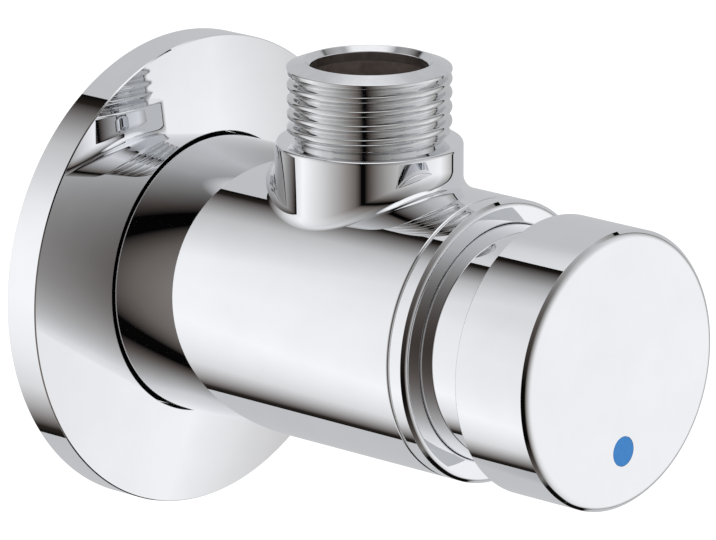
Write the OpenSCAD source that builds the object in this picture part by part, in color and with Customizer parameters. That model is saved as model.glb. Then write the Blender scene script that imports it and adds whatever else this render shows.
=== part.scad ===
// Self-closing shower valve, wall mounted, outlet upwards.
// The frame is +Z up with the wall at y = 0. The valve's axis is Y and its button faces -Y.
// Depths are measured along the axis, forwards from the wall, so a depth d lies at y = -d.

/* [Thread] */
// Crest radius of the G 1/2 pipe threads
thread_crest_r = 10.4775; // [10.40:0.01:10.50]
// Depth of the threads
thread_depth = 1.162; // [1.1:0.01:1.2]
// Pitch of the threads
thread_pitch = 1.814; // [1.80:0.001:1.83]
// Width of the flat on each crest
crest_land = 0.32; // [0.28:0.01:0.36]

/* [Body] */
// Radius of the cylindrical body
body_r = 18; // [17.9:0.05:18.5]
// Depth of the body's back face
body_back_d = 1.5; // [1.4:0.05:1.6]
// Length of the body in front of the outlet's axis
body_front_len = 19.78; // [19.7:0.02:19.9]
// Half the width of the fine groove between the body and its collar
groove_half = 0.28; // [0.2:0.02:0.3]
// Wall of the body around the rear bore, which takes the cartridge
rear_wall = 4; // [3.9:0.05:4.1]
// Depth where the rear bore starts
rear_bore_d = 5; // [4.9:0.05:5.1]
// Wall of the body around the front bore, which takes the collar
skirt_wall = 1.5; // [1.4:0.05:1.6]
// Wall of the body around the ring channel that gathers the water
channel_wall = 2.2; // [2:0.1:2.5]
// Length of the ring channel behind the outlet's axis
channel_back_len = 9; // [8.5:0.1:9.5]
// Length of the ring channel in front of the outlet's axis
channel_front_len = 5; // [4.5:0.1:5.1]
// Distance from the outlet's axis to the shoulder that the cartridge flange lies on
shoulder_len = 8.5; // [8.4:0.05:8.6]

/* [Inlet] */
// Length of the inlet thread behind the body
inlet_len = 14.5; // [12:0.5:18]
// Number of crests on the inlet thread
inlet_crests = 8; // [6:1:8]
// Radius of the inlet bore
inlet_bore_r = 7.5; // [7.45:0.01:7.6]
// Radius of the narrow passage in front of the flow limiter
inlet_neck_r = 6.2; // [5.8:0.1:6.4]
// Depth where the narrow passage starts
inlet_neck_d = 1; // [0.9:0.05:1.1]

/* [Outlet] */
// Depth of the outlet's axis
outlet_d = 34; // [33.8:0.1:34.2]
// Height of the boss above the top of the body
boss_rise = 4.2; // [4:0.1:4.4]
// Height of the threaded outlet above the boss
outlet_len = 9.8; // [9.6:0.1:10.8]
// Radius of the boss under the thread
outlet_boss_r = 11.9; // [11.7:0.05:12.1]
// Rounding of the boss's top edge
outlet_boss_round = 0.5; // [0.4:0.05:0.6]
// Radius of the smooth blend from the boss into the body
outlet_blend_r = 2; // [1.5:0.1:2.5]
// Number of crests on the outlet thread
outlet_crests = 5; // [5:1:5]
// Chamfer of the outlet's lip, at 45 degrees
lip_d = 0.68; // [0.6:0.02:0.8]
// Radius of the outlet bore
outlet_bore_r = 7.45; // [7.3:0.01:7.6]
// Depth of the outlet bore below its top face
outlet_bore_len = 12; // [10:0.5:13]
// Radius of the passage from the ring channel to the outlet bore
outlet_port_r = 5; // [4:0.25:5]

/* [Escutcheon] */
// Outer radius of the escutcheon
plate_r = 30.7; // [30:0.1:32]
// Height of the escutcheon's rim above the wall
plate_rim_d = 4.96; // [4.8:0.02:5.1]
// Rise of the dome from the rim to its highest ring
plate_rise = 1.24; // [1:0.02:1.4]
// Radius of that highest ring
plate_top_r = 14; // [13.5:0.1:14.5]
// Rounding of the escutcheon's front edge
plate_edge = 0.35; // [0.3:0.05:0.5]
// Thickness of the escutcheon's shell
plate_wall = 1.2; // [1:0.1:1.4]
// Gap between the escutcheon and the body
plate_gap = 0.15; // [0.1:0.05:0.2]
// Thickness of the escutcheon's inner hub
hub_wall = 3.35; // [3:0.05:4]
// Depth of the back of that hub
plate_hub_d = 2; // [1.9:0.05:2.1]

/* [Cartridge] */
// Gap between the cartridge housing and the rear bore
housing_gap = 0.1; // [0.07:0.01:0.15]
// Gap between the housing's back end and the bottom of the rear bore
housing_end_gap = 1; // [0.8:0.05:1.2]
// Wall of the housing around the poppet
poppet_wall = 2.7; // [2.6:0.05:2.8]
// Wall of the housing between the seat and the dashpot
window_wall = 3.4; // [3.3:0.05:3.5]
// Gap between the housing's flange and the front bore
flange_gap = 0.15; // [0.1:0.05:0.2]
// Thickness of the housing's flange
flange_t = 2; // [1.9:0.02:2.02]
// Gap between the dashpot tube and the guide pin
tube_gap = 0.1; // [0.08:0.02:0.2]
// Wall of the dashpot tube
tube_wall = 2.1; // [2:0.05:2.2]
// Number of windows in the housing
window_count = 6; // [4:1:6]
// Width of each window
window_w = 6.5; // [5:0.5:7]
// Length of the windows behind the outlet's axis
window_back_len = 8; // [7.5:0.1:8.5]
// Length of the windows in front of the outlet's axis
window_front_len = 2; // [1:0.1:2.5]

/* [Stem] */
// Radius of the stem
stem_r = 3; // [2.98:0.01:3]
// Radius of the stem's threaded ends
stem_thread_r = 2.5; // [2.45:0.01:2.5]
// Length of the thread that stands out behind the poppet's nut
stem_end_len = 0.7; // [0.6:0.05:0.8]
// Gap between the stem's front tip and the head
stem_tip_gap = 0.6; // [0.5:0.05:0.8]
// Distance from the shoulder to the middle of the piston at rest
piston_len = 4.5; // [4.45:0.01:4.55]
// Thickness of the piston
piston_t = 3; // [2.9:0.05:3]

/* [Spring] */
// Mean radius of the return spring
spring_r = 9; // [8.8:0.05:9.1]
// Radius of the spring's wire
wire_r = 0.5; // [0.4:0.02:0.5]
// Number of turns of the spring
spring_turns = 5; // [4:1:5]

/* [Collar] */
// Length of the collar's visible ring
collar_len = 2.44; // [2.3:0.02:2.6]
// Rounding of the collar's front edge
collar_edge = 0.8; // [0.6:0.05:0.9]
// Thickness of the collar's visible ring
collar_wall = 2.8; // [2.75:0.01:2.85]
// Gap between the collar's threaded spigot and the body
spigot_gap = 0.08; // [0.05:0.01:0.1]

/* [Button] */
// Travel of the button
button_travel = 7; // [6.8:0.1:7]
// Visible length of the neck between the collar and the head
neck_len = 8.1; // [8:0.05:8.5]
// Length of the head
head_len = 11.5; // [11.4:0.05:12]
// How much smaller the head's radius is than the body's
head_step = 0.3; // [0.1:0.05:0.5]
// Rounding of the head's front edge
button_edge = 0.9; // [0.7:0.05:1.1]
// Thickness of the head's front wall
head_wall = 2.5; // [2.4:0.05:2.8]
// Gap between the button's sleeve and the collar
sleeve_gap = 0.15; // [0.1:0.01:0.17]
// Wall of the button's sleeve
sleeve_wall = 1.65; // [1.6:0.01:1.7]
// Gap between the sleeve's front end and the head's front wall
sleeve_end_gap = 1.6; // [1.4:0.05:1.8]
// Distance from the back of the head to the sleeve's web
web_len = 2.9; // [2.8:0.05:3]
// Thickness of the sleeve's web
web_t = 2; // [1.9:0.05:2]
// Radius of the blue mark
dot_r = 1.9; // [1.5:0.1:2.2]
// Height of the blue mark below the valve's axis
dot_drop = 10.3; // [9.5:0.1:11]
// Sideways place of the blue mark
dot_x = 0.6; // [0:0.1:1]

/* [Inlet filter] */
// Gap between the strainer's thimble and the inlet bore
thimble_gap = 1.7; // [1.5:0.1:2]
// Wall of the strainer's thimble
thimble_wall = 0.6; // [0.5:0.05:0.8]
// Height of the strainer's rim
strainer_rim = 1.6; // [1.2:0.1:2]
// How far the strainer sits inside the inlet's mouth
strainer_inset = 0.6; // [0.4:0.1:0.8]
// Gap between the strainer and the flow limiter
strainer_gap = 1.4; // [1:0.1:1.8]
// Number of slots around the strainer
slot_count = 16; // [12:2:20]
// Width of each slot
slot_w = 1; // [0.8:0.1:1.2]
// Thickness of the flow limiter's disc
limiter_t = 3.2; // [2.8:0.1:3.4]
// Radius of the limiter's centre hole
limiter_hole_r = 1.6; // [1.2:0.1:2]
// Radius of the limiter's outer holes
limiter_small_r = 0.9; // [0.6:0.1:1]
// Orbit of the limiter's outer holes
limiter_orbit = 4; // [3.5:0.1:4.5]
// Gap between the inlet bore and what is pressed into it
inlet_fit = 0.06; // [0.03:0.01:0.1]

/* [Seals] */
// Wire radius of the escutcheon's friction ring
ring_wire_r = 0.85; // [0.8:0.01:0.9]
// Depth of the friction ring
ring_d = 4; // [3.9:0.05:4]
// Wire radius of the O-rings between the housing and the body
oring_wire_r = 0.68; // [0.62:0.01:0.7]
// Distance from the housing's back end to the rear O-ring
rear_oring_len = 3.8; // [3:0.1:5]
// Distance from the front O-ring to the shoulder
front_oring_len = 2; // [1.9:0.05:2.2]
// Wire radius of the cap's O-ring
cap_oring_wire_r = 0.5; // [0.45:0.01:0.5]
// Wire radius of the stem's seal
seal_wire_r = 0.65; // [0.6:0.01:0.65]
// Distance from the stem's seal to the end of the dashpot tube
seal_len = 1.4; // [1.3:0.05:1.5]
// Distance from the middle of the wiper to the collar's front face
wiper_len = 1.5; // [1.45:0.05:1.6]
// Width of the wiper's groove
wiper_w = 1.4; // [1.2:0.05:1.4]
// Depth of the wiper's groove in the collar
wiper_depth = 0.9; // [0.8:0.05:1.1]

/* [Seat and poppet] */
// Radius of the hole in the seat
seat_hole_r = 6.5; // [6:0.1:6.8]
// Width of the seat's raised lip
seat_lip_w = 1.5; // [1.2:0.1:1.6]
// Height of that lip
seat_lip_h = 0.5; // [0.4:0.05:0.6]
// Thickness of the seat ring
seat_t = 3; // [2.8:0.05:3.2]
// Distance from the seat ring to the windows
seat_len = 3; // [2.8:0.1:3.2]
// Gap between the poppet and the housing
poppet_gap = 1.9; // [1.7:0.05:2.2]
// Thickness of the poppet
poppet_t = 2.4; // [2.3:0.05:2.5]
// Room for the washer between the poppet and the seat
washer_room = 1.9; // [1.8:0.05:2]
// Wall of the rim around the washer
washer_wall = 0.5; // [0.4:0.05:0.6]
// Height of that rim
washer_rim = 0.3; // [0.2:0.05:0.5]

/* [Cartridge cap] */
// Length of the cap's plug in the dashpot tube
cap_plug_len = 2.4; // [2.35:0.01:2.45]
// Thickness of the cap's flange
cap_flange_t = 2; // [1.9:0.05:2]
// Wall of the stem's bush
bush_wall = 1; // [0.8:0.05:1.2]
// Length of the stem's bush
bush_len = 1.8; // [1.5:0.05:1.8]
// Gap between the stop on the stem and the cap at rest
stop_gap = 0.35; // [0.3:0.01:0.4]

/* [Piston] */
// Gap between the piston and the dashpot's wall
piston_gap = 0.15; // [0.1:0.01:0.2]
// Depth of the lip seal's groove
lip_seal_depth = 1.15; // [1:0.05:1.3]
// Width of the lip seal
lip_seal_w = 1.2; // [1:0.05:1.4]
// Thickness of the clip behind the piston
clip_t = 0.8; // [0.7:0.05:0.9]
// Width of that clip and of the stop in front of the piston
clip_w = 1.4; // [1.2:0.05:1.6]
// Thickness of the stop on the stem
stop_t = 0.75; // [0.6:0.01:0.8]
// Distance from the timing jet's axis to the lip seal's groove
jet_inset = 1.6; // [1.4:0.05:1.8]
// Radius of the timing jet
jet_r = 1; // [0.9:0.02:1.1]
// Radius of the jet's calibrated hole
jet_hole_r = 0.2; // [0.15:0.01:0.3]

/* [Fastenings] */
// Corner radius of the M5 nuts
nut_r = 4.62; // [4.6:0.01:4.65]
// Height of the M5 nuts
nut_t = 2.7; // [2.4:0.05:2.7]
// Radius of the guide pin
pin_r = 1.2; // [1.1:0.02:1.2]
// Length of the guide pin
pin_len = 13; // [12:0.1:13.5]
// Distance from the shoulder to the back of the guide pin
pin_seat_len = 0.5; // [0.4:0.05:0.7]
// How far the guide pin's axis lies inside the sleeve's bore
pin_inset = 0.5; // [0.48:0.01:0.52]
// Gap between the pin and the slot that it runs in
pin_gap = 0.1; // [0.07:0.01:0.12]

/* [Clearances] */
// Gap of pieces that are pressed, screwed or clipped together
fit_gap = 0.02; // [0.01:0.005:0.03]
// Gap between rubber rings and the wall that they seal on
rubber_gap = 0.05; // [0.03:0.01:0.06]
// Gap between a round ring and each side of its groove
side_gap = 0.15; // [0.1:0.01:0.2]
// Gap between the stem and its bush
bush_gap = 0.04; // [0.02:0.01:0.06]
// Gap between the lip seal and the dashpot's wall
lip_gap = 0.04; // [0.02:0.01:0.06]
// Gap between the wiper and the button's sleeve
wiper_gap = 0.07; // [0.05:0.01:0.1]
// Gap between the cap's plug and the dashpot's wall
plug_gap = 0.06; // [0.04:0.01:0.08]

/* [Hidden] */
fine = 128;
// Length by which a cutting shape runs past the face that it cuts
cut = 1;
thread_root_r = thread_crest_r - thread_depth;
// Axial width of a thread's flank: half the 55 degree thread angle
flank = thread_depth * tan(27.5);
slip_ring_t = 0.5;
dot_t = 0.3;

// Depths of the body and the cartridge, from the outlet's axis
body_front_d = outlet_d + body_front_len;
shoulder_d = outlet_d + shoulder_len;
channel_back_d = outlet_d - channel_back_len;
channel_front_d = outlet_d + channel_front_len;
window_back_d = outlet_d - window_back_len;
window_front_d = outlet_d + window_front_len;
flange_front_d = shoulder_d + flange_t;
housing_back_d = rear_bore_d + housing_end_gap;
rear_oring_d = housing_back_d + rear_oring_len;
front_oring_d = shoulder_d - front_oring_len;
seat_front_d = window_back_d - seat_len;
seat_back_d = seat_front_d - seat_t;
seat_lip_d = seat_back_d - seat_lip_h;
poppet_front_d = seat_lip_d - washer_room;
poppet_back_d = poppet_front_d - poppet_t;
stem_back_d = poppet_back_d - nut_t - stem_end_len;
piston_d = shoulder_d + piston_len;
// The dashpot is as long as the button's travel, with 1 mm to spare
dashpot_d = piston_d - piston_t / 2 - button_travel - 1;
tube_front_d = piston_d + piston_t / 2 + stop_t + stop_gap + cap_plug_len;
cap_front_d = tube_front_d + cap_flange_t;
seal_d = tube_front_d - seal_len;
pin_back_d = shoulder_d + pin_seat_len;
pin_front_d = pin_back_d + pin_len;
pin_slot_front_d = pin_front_d + button_travel + 2;

// Depths of the collar and the button, from the body's front face
collar_back_d = body_front_d + groove_half;
collar_front_d = collar_back_d + collar_len;
spigot_back_d = flange_front_d + slip_ring_t + 0.1;
wiper_d = collar_front_d - wiper_len;
button_back_d = collar_front_d + neck_len;
button_front_d = button_back_d + head_len;
button_cavity_d = button_front_d - head_wall;
sleeve_front_d = button_cavity_d - sleeve_end_gap;
stem_front_d = button_cavity_d - stem_tip_gap;
web_d = button_back_d + web_len;
// When the button is pressed home, its sleeve ends level with the slip ring
sleeve_back_d = flange_front_d + slip_ring_t + button_travel;

// Depths of the inlet, from the body's back face
inlet_back_d = body_back_d - inlet_len;
strainer_back_d = inlet_back_d + strainer_inset;
strainer_front_d = inlet_neck_d - limiter_t - strainer_gap;
strainer_len = strainer_front_d - strainer_back_d;

// Radii of the body and the collar, inwards from the body's surface
rear_bore_r = body_r - rear_wall;
front_bore_r = body_r - skirt_wall;
channel_r = body_r - channel_wall;
collar_bore_r = body_r - collar_wall;
spigot_r = front_bore_r - spigot_gap;
wiper_groove_r = collar_bore_r + wiper_depth;
flange_r = front_bore_r - flange_gap;
button_r = body_r - head_step;
sleeve_r = collar_bore_r - sleeve_gap;
sleeve_bore_r = sleeve_r - sleeve_wall;
pin_orbit = sleeve_bore_r - pin_inset;
pin_slot_r = pin_r + pin_gap;
plate_bore_r = body_r + plate_gap;
plate_hub_r = plate_bore_r + hub_wall;
ring_groove_w = 2 * (ring_wire_r + side_gap);

// Radii of the cartridge, inwards from its bore and its guide pin
housing_r = rear_bore_r - housing_gap;
oring_groove_r = rear_bore_r - 2 * (oring_wire_r + rubber_gap);
oring_groove_w = 2 * (oring_wire_r + side_gap);
poppet_bore_r = housing_r - poppet_wall;
mid_bore_r = housing_r - window_wall;
tube_r = pin_orbit - pin_r - tube_gap;
dashpot_r = tube_r - tube_wall;
cap_groove_r = dashpot_r - 2 * (cap_oring_wire_r + rubber_gap);
cap_groove_w = 2 * (cap_oring_wire_r + side_gap);
piston_r = dashpot_r - piston_gap;
lip_seal_r = piston_r - lip_seal_depth;
jet_orbit = lip_seal_r - jet_inset;
poppet_r = poppet_bore_r - poppet_gap;
washer_r = poppet_r - washer_wall;
seat_lip_r = seat_hole_r + seat_lip_w;
bush_r = stem_r + bush_wall;
clip_r = stem_r + clip_w;
thimble_r = inlet_bore_r - thimble_gap;

outlet_boss_z = body_r + boss_rise;
outlet_top_z = outlet_boss_z + outlet_len;
outlet_face_r = thread_crest_r - lip_d;
plate_top_d = plate_rim_d + plate_rise;
// Radius of the arc that domes the escutcheon, through its highest ring and its rim
plate_curve_r = ((plate_r - plate_top_r)^2 + plate_rise^2) / (2 * plate_rise);
chrome = "#d5d7d9";
brass = "#c9a24e";
steel = "#b9bdc2";
rubber = "#26272a";
plastic = "#ecebe6";

// Revolves a profile of radius and depth about the valve's axis
module turned() {
  rotate([90, 0, 0]) rotate_extrude($fn = fine) children();
}

// Tube about the valve's axis between two depths
module tube(outer_r, inner_r, back_d, front_d) {
  turned() translate([inner_r, back_d]) square([outer_r - inner_r, front_d - back_d]);
}

// Solid rod about the valve's axis between two depths
module rod(r, back_d, front_d) {
  rotate([90, 0, 0]) translate([0, 0, back_d]) cylinder(r = r, h = front_d - back_d, $fn = fine);
}

// Round section ring about the valve's axis
module oring(mean_r, wire, d) {
  turned() translate([mean_r, d]) circle(r = wire, $fn = 32);
}

// Rectangle of radius and depth whose outer front corner is rounded
module rounded_profile(inner_r, outer_r, back_d, front_d, round_r) {
  translate([inner_r, back_d]) square([outer_r - inner_r - round_r, front_d - back_d]);
  translate([inner_r, back_d]) square([outer_r - inner_r, front_d - back_d - round_r]);
  translate([outer_r - round_r, front_d - round_r]) circle(r = round_r, $fn = 48);
}

// Half profile of one thread crest, centred on its land
module crest_profile(root_inner_r) {
  polygon([
    [root_inner_r, -crest_land / 2 - flank],
    [thread_root_r, -crest_land / 2 - flank],
    [thread_crest_r, -crest_land / 2],
    [thread_crest_r, crest_land / 2],
    [thread_root_r, crest_land / 2 + flank],
    [root_inner_r, crest_land / 2 + flank]
  ]);
}

// Ring crests that stand for the outlet's screw thread, with its chamfered lip on top
module outlet_thread() {
  translate([0, -outlet_d, 0]) rotate_extrude($fn = fine) {
    translate([0, outlet_boss_z - cut]) square([thread_root_r, outlet_top_z - outlet_boss_z + cut - lip_d]);
    polygon([
      [0, outlet_top_z - lip_d - flank - crest_land],
      [thread_root_r, outlet_top_z - lip_d - flank - crest_land],
      [thread_crest_r, outlet_top_z - lip_d - crest_land],
      [thread_crest_r, outlet_top_z - lip_d],
      [outlet_face_r, outlet_top_z],
      [0, outlet_top_z]
    ]);
    for (i = [1 : outlet_crests - 1])
      translate([0, outlet_top_z - lip_d - crest_land / 2 - i * thread_pitch]) crest_profile(0);
  }
}

// Ring crests that stand for the inlet's screw thread
module inlet_thread() {
  first_d = inlet_back_d + 1;
  turned() {
    translate([0, inlet_back_d]) square([thread_root_r, inlet_len + cut]);
    for (i = [0 : inlet_crests - 1]) translate([0, first_d + i * thread_pitch]) crest_profile(0);
  }
}

// Solid ring under the blend of boss and body. Its outer wall is where a ball, rolled round the
// foot of the boss and touching both cylinders, leaves its trace.
module outlet_blend() {
  steps = 6;
  turns = 72;
  reach = body_r + outlet_blend_r;
  orbit = outlet_boss_r + outlet_blend_r;
  sink = 0.12;
  function ball(a) = [orbit * cos(a), orbit * sin(a), sqrt(reach^2 - (orbit * cos(a))^2)];
  function to_boss(a) = [-cos(a), -sin(a), 0];
  function to_body(a) = [-ball(a)[0], 0, -ball(a)[2]] / reach;
  function opening(a) = acos(to_boss(a) * to_body(a));
  function swung(a, t) =
    (sin((1 - t) * opening(a)) * to_boss(a) + sin(t * opening(a)) * to_body(a)) / sin(opening(a));
  function wall(a, k) = ball(a) + (outlet_blend_r + (k == 0 || k == steps ? sink : 0)) * swung(a, k / steps);
  core_r = outlet_boss_r - 2;
  core_drop = outlet_blend_r + 1.5;
  function core(a) = [core_r * cos(a), core_r * sin(a), ball(a)[2] - core_drop];
  row = steps + 2;
  points = [for (i = [0 : turns - 1]) let (a = i * 360 / turns)
    for (k = [0 : steps + 1]) k <= steps ? wall(a, k) : core(a)];
  faces = [for (i = [0 : turns - 1], k = [0 : row - 1])
    let (n = (i + 1) % turns, m = (k + 1) % row)
    for (side = [0, 1]) side == 0
      ? [i * row + k, n * row + k, n * row + m]
      : [i * row + k, n * row + m, i * row + m]];
  translate([0, -outlet_d, 0]) polyhedron(points = points, faces = faces, convexity = 6);
}

// Brass body with its inlet thread, outlet boss and outlet thread
module valve_body() color(chrome) difference() {
  union() {
    turned() polygon([
      [0, body_back_d],
      [body_r - groove_half, body_back_d],
      [body_r, body_back_d + groove_half],
      [body_r, body_front_d - groove_half],
      [body_r - groove_half, body_front_d],
      [0, body_front_d]
    ]);
    translate([0, -outlet_d, 0]) rotate_extrude($fn = fine)
      rounded_profile(0, outlet_boss_r, body_r / 4, outlet_boss_z, outlet_boss_round);
    outlet_blend();
    outlet_thread();
    inlet_thread();
  }
  rod(inlet_bore_r, inlet_back_d - cut, inlet_neck_d);
  rod(inlet_neck_r, inlet_neck_d - cut / 2, rear_bore_d + cut);
  rod(rear_bore_r, rear_bore_d, shoulder_d + cut);
  rod(channel_r, channel_back_d, channel_front_d);
  rod(front_bore_r, shoulder_d, body_front_d + cut);
  translate([0, -outlet_d, outlet_top_z - outlet_bore_len])
    cylinder(r = outlet_bore_r, h = outlet_bore_len + cut, $fn = fine);
  translate([0, -outlet_d, rear_bore_r - cut])
    cylinder(r = outlet_port_r, h = outlet_top_z - rear_bore_r, $fn = fine);
}

// Domed wall plate: a thin shell with a hub that holds its friction ring
module escutcheon() color(chrome) turned() difference() {
  intersection() {
    translate([plate_bore_r, 0]) square([plate_r - plate_bore_r, plate_top_d + cut]);
    translate([plate_top_r, plate_top_d - plate_curve_r]) circle(r = plate_curve_r, $fn = 400);
  }
  intersection() {
    translate([plate_hub_r, -cut]) square([plate_r - plate_wall - plate_hub_r, plate_top_d + cut]);
    translate([plate_top_r, plate_top_d - plate_curve_r]) circle(r = plate_curve_r - plate_wall, $fn = 400);
  }
  translate([plate_bore_r - cut, -cut]) square([plate_hub_r - plate_bore_r + 2 * cut, plate_hub_d + cut]);
  translate([plate_bore_r - cut, ring_d - ring_groove_w / 2])
    square([2 * ring_wire_r + rubber_gap + cut, ring_groove_w]);
  translate([plate_r, plate_rim_d]) rotate(45)
    square([plate_edge * sqrt(2), plate_edge * sqrt(2) * 2], center = true);
}

// Rubber ring in the escutcheon that grips the body
module escutcheon_ring() color(rubber) oring(body_r + rubber_gap + ring_wire_r, ring_wire_r, ring_d);

// Dirt strainer: a rim and a slotted thimble that points downstream
module inlet_strainer() color(steel) difference() {
  slot_len = strainer_len - strainer_rim - 2 * thimble_wall - 0.8;
  turned() {
    translate([thimble_r - thimble_wall, strainer_back_d])
      square([inlet_bore_r - inlet_fit - thimble_r + thimble_wall, strainer_rim]);
    translate([thimble_r - thimble_wall, strainer_back_d]) square([thimble_wall, strainer_len]);
    translate([0, strainer_front_d - thimble_wall]) square([thimble_r, thimble_wall]);
  }
  for (i = [0 : slot_count / 2 - 1])
    rotate([0, i * 360 / slot_count, 0])
      translate([-thimble_r - cut, thimble_wall * 2 - strainer_front_d, -slot_w / 2])
        cube([2 * (thimble_r + cut), slot_len, slot_w]);
}

// Flow limiter: a disc with a ring of small holes
module flow_limiter() color(plastic) difference() {
  back_d = inlet_neck_d - limiter_t;
  rod(inlet_bore_r - inlet_fit, back_d, inlet_neck_d);
  rod(limiter_hole_r, back_d - cut, inlet_neck_d + cut);
  for (i = [0 : 5]) rotate([0, i * 60, 0]) translate([limiter_orbit, 0, 0])
    rod(limiter_small_r, back_d - cut, inlet_neck_d + cut);
}

// Cartridge housing: seat pocket, windows, O-ring grooves, flange and dashpot tube
module cartridge_housing() color(brass) difference() {
  turned() difference() {
    union() {
      translate([0, housing_back_d]) square([housing_r, shoulder_d - housing_back_d + flange_t / 2]);
      translate([0, shoulder_d]) square([flange_r, flange_t]);
      translate([0, shoulder_d]) square([tube_r, tube_front_d - shoulder_d]);
    }
    for (d = [rear_oring_d, front_oring_d])
      translate([oring_groove_r, d - oring_groove_w / 2]) square([cut * 2, oring_groove_w]);
  }
  rod(poppet_bore_r, housing_back_d - cut, seat_front_d);
  rod(mid_bore_r, seat_front_d - cut / 2, dashpot_d);
  rod(dashpot_r, dashpot_d - cut / 2, tube_front_d + cut);
  for (i = [0 : window_count - 1])
    rotate([0, (i + 0.5) * 360 / window_count, 0])
      translate([mid_bore_r - 2, -window_front_d, -window_w / 2])
        cube([housing_r, window_front_d - window_back_d, window_w]);
  translate([0, 0, -pin_orbit]) rod(pin_r + fit_gap, pin_back_d, flange_front_d + cut);
}

// Seat ring with the raised lip that the washer closes on
module valve_seat() color(steel) turned() {
  translate([seat_hole_r, seat_back_d])
    square([poppet_bore_r - fit_gap - seat_hole_r, seat_front_d - seat_back_d]);
  translate([seat_hole_r, seat_lip_d]) square([seat_lip_r - seat_hole_r, seat_front_d - seat_lip_d]);
}

// O-rings between the cartridge housing and the body
module rear_oring() color(rubber) oring((oring_groove_r + rear_bore_r) / 2, oring_wire_r, rear_oring_d);
module front_oring() color(rubber) oring((oring_groove_r + rear_bore_r) / 2, oring_wire_r, front_oring_d);

// Cap that closes the dashpot and guides the stem
module housing_cap() color(brass) turned() difference() {
  plug_back_d = tube_front_d - cap_plug_len;
  seal_groove_w = 2 * (seal_wire_r + rubber_gap);
  union() {
    translate([0, plug_back_d]) square([dashpot_r - plug_gap, cap_front_d - plug_back_d]);
    translate([0, tube_front_d]) square([tube_r, cap_flange_t]);
  }
  translate([0, plug_back_d - cut]) square([stem_r + 0.1, cap_front_d - plug_back_d + 2 * cut]);
  translate([0, seal_d - seal_groove_w / 2]) square([stem_r + 2 * (seal_wire_r + rubber_gap), seal_groove_w]);
  translate([0, cap_front_d - bush_len]) square([bush_r + fit_gap, bush_len + cut]);
  translate([cap_groove_r, seal_d - cap_groove_w / 2]) square([2 * cut, cap_groove_w]);
}
module cap_oring() color(rubber) oring((cap_groove_r + dashpot_r) / 2, cap_oring_wire_r, seal_d);

// Seal and bush around the stem
module stem_seal() color(rubber) oring(stem_r + rubber_gap + seal_wire_r, seal_wire_r, seal_d);
module stem_bush() color(plastic) tube(bush_r, stem_r + bush_gap, cap_front_d - bush_len, cap_front_d);

// Thin washer that lets the collar turn on the cartridge flange
module slip_ring() color(plastic)
  tube(flange_r, collar_bore_r + 0.1, flange_front_d, flange_front_d + slip_ring_t);

// Chromed collar: visible ring, threaded spigot and wiper groove
module collar() color(chrome) turned() difference() {
  union() {
    rounded_profile(collar_bore_r, body_r, collar_back_d, collar_front_d, collar_edge);
    translate([collar_bore_r, spigot_back_d])
      square([spigot_r - collar_bore_r, collar_back_d - spigot_back_d + cut]);
    polygon([
      [collar_bore_r, body_front_d],
      [body_r - groove_half, body_front_d],
      [body_r, collar_back_d],
      [body_r, collar_back_d + groove_half],
      [collar_bore_r, collar_back_d + groove_half]
    ]);
  }
  translate([collar_bore_r - cut, wiper_d - wiper_w / 2])
    square([wiper_groove_r - collar_bore_r + cut, wiper_w]);
}
module sleeve_wiper() color(rubber) tube(
  wiper_groove_r - rubber_gap, sleeve_r + wiper_gap,
  wiper_d - wiper_w / 2 + rubber_gap, wiper_d + wiper_w / 2 - rubber_gap
);

// Dowel in the flange that keeps the button from turning
module guide_pin() color(steel) translate([0, 0, -pin_orbit]) rod(pin_r, pin_back_d, pin_front_d);

// Return spring between the cartridge cap and the button's web, swept as one tube whose end turns
// lie close together
module return_spring() {
  steps = 32;
  sides = 8;
  rings = spring_turns * steps;
  start_d = cap_front_d + wire_r + rubber_gap;
  span = web_d - cap_front_d - 2 * (wire_r + rubber_gap);
  end_pitch = 2.6 * wire_r;
  mid_pitch = (span - 2 * end_pitch) / (spring_turns - 2);
  function lift(t) =
    t < 1 ? t * end_pitch :
    t > spring_turns - 1 ? span - (spring_turns - t) * end_pitch :
    end_pitch + (t - 1) * mid_pitch;
  function at(t, b) = let (r = spring_r + wire_r * cos(b), d = start_d + lift(t) + wire_r * sin(b))
    [r * cos(t * 360), -d, r * sin(t * 360)];
  points = [for (i = [0 : rings], j = [0 : sides - 1]) at(i / steps, j * 360 / sides)];
  walls = [for (i = [0 : rings - 1], j = [0 : sides - 1])
    let (m = (j + 1) % sides, here = i * sides, next = here + sides)
      for (side = [0, 1]) side == 0 ? [here + j, here + m, next + m] : [here + j, next + m, next + j]];
  ends = [
    [for (j = [0 : sides - 1]) sides - 1 - j],
    [for (j = [0 : sides - 1]) rings * sides + j]
  ];
  color(steel) polyhedron(points = points, faces = concat(walls, ends), convexity = 10);
}

// Stem that carries the piston and poppet and ends in the button
module stem() color(steel) union() {
  stop_d = piston_d + piston_t / 2 + fit_gap;
  rod(stem_thread_r, stem_back_d, stem_front_d);
  rod(stem_r, seat_lip_d, web_d);
  rod(clip_r, stop_d, stop_d + stop_t);
}

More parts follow.
